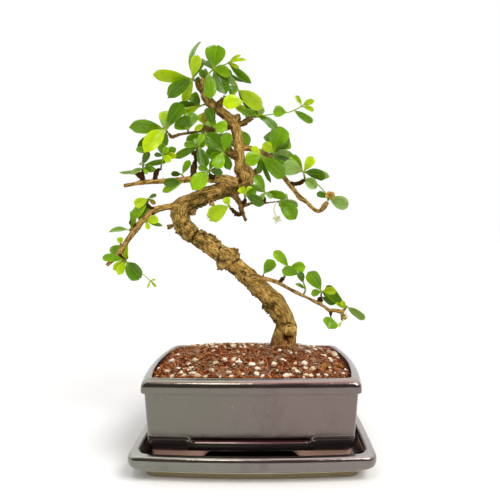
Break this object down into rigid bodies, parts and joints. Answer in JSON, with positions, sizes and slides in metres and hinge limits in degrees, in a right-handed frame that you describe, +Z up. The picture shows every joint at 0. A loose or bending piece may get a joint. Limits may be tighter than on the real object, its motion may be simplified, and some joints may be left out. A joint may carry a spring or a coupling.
{
  "type": "fukien tea bonsai",
  "caption": "Small flowering evergreen tree trained in an S, with drooping side branches, in a glazed oblong pot standing in its drip tray.",
  "frame": {"origin": "on the table under the centre of the pot, in the flat underside of the tray", "axes": "+Z up, -Y towards the front that the picture shows, +X to the viewer's right"},
  "size_m": [0.2821, 0.2383, 0.4367],
  "materials": {
    "pot_glaze": "glossy gunmetal lustre glaze, greenish grey to mauve",
    "tray_glaze": "glossy gunmetal lustre glaze, like the pot",
    "potting_mix": "coarse red-brown bark and coir with pale grains",
    "bark": "tan to brown rough bark with lichen-green patches",
    "plastic_mesh": "coarse dark plastic mesh",
    "leaves_green": "glossy leathery leaf, mid to deep green",
    "leaves_lime": "glossy young leaf, lime to yellow green",
    "petals": "thin pale cream petals and bud",
    "spent_petals": "dry yellow-brown petals"
  },
  "bodies": {
    "root": {"drain_screen_left": "plastic_mesh", "drain_screen_right": "plastic_mesh", "flower_bud": "petals", "hanging_flower": "petals", "leaves_back_end": "leaves_green", "leaves_back_inner": "leaves_green", "leaves_back_right_end": "leaves_green", "leaves_back_right_inner": "leaves_green", "leaves_crown_back": "leaves_green", "leaves_crown_left": "leaves_green", "leaves_crown_right": "leaves_green", "leaves_crown_top": "leaves_green", "leaves_hanging_spray": "leaves_lime", "leaves_inner_left_spray": "leaves_green", "leaves_leader_leaf": "leaves_green", "leaves_left_cluster_a": "leaves_green", "leaves_left_cluster_b": "leaves_green", "leaves_left_limb_high": "leaves_green", "leaves_left_limb_low": "leaves_green", "leaves_left_limb_spray": "leaves_green", "leaves_low_left_end": "leaves_lime", "leaves_low_left_leaf": "leaves_green", "leaves_low_left_mid": "leaves_green", "leaves_low_left_strip": "leaves_lime", "leaves_low_left_top": "leaves_lime", "leaves_low_left_yellow": "leaves_lime", "leaves_low_right_end": "leaves_green", "leaves_low_right_first": "leaves_green", "leaves_low_right_knob": "leaves_green", "leaves_low_right_mid": "leaves_green", "leaves_low_right_round": "leaves_green", "leaves_low_right_shoot": "leaves_green", "leaves_mid_front_spray": "leaves_green", "leaves_mid_inner_spray": "leaves_green", "leaves_mid_left_spray": "leaves_green", "leaves_mid_low_spray": "leaves_green", "leaves_right_inner_spray": "leaves_green", "leaves_right_mid_spray": "leaves_green", "leaves_right_outer_spray": "leaves_green", "leaves_right_stub_spray": "leaves_green", "leaves_right_tip_spray": "leaves_lime", "leaves_stub_spray": "leaves_green", "leaves_under_left_spray": "leaves_green", "leaves_under_right_spray": "leaves_green", "leaves_under_tip_spray": "leaves_green", "leaves_upper_left_spray": "leaves_green", "pot": "pot_glaze", "soil": "potting_mix", "spent_flower": "spent_petals", "tray": "tray_glaze", "trunk_and_branches": "bark"}
  },
  "joints": []
}
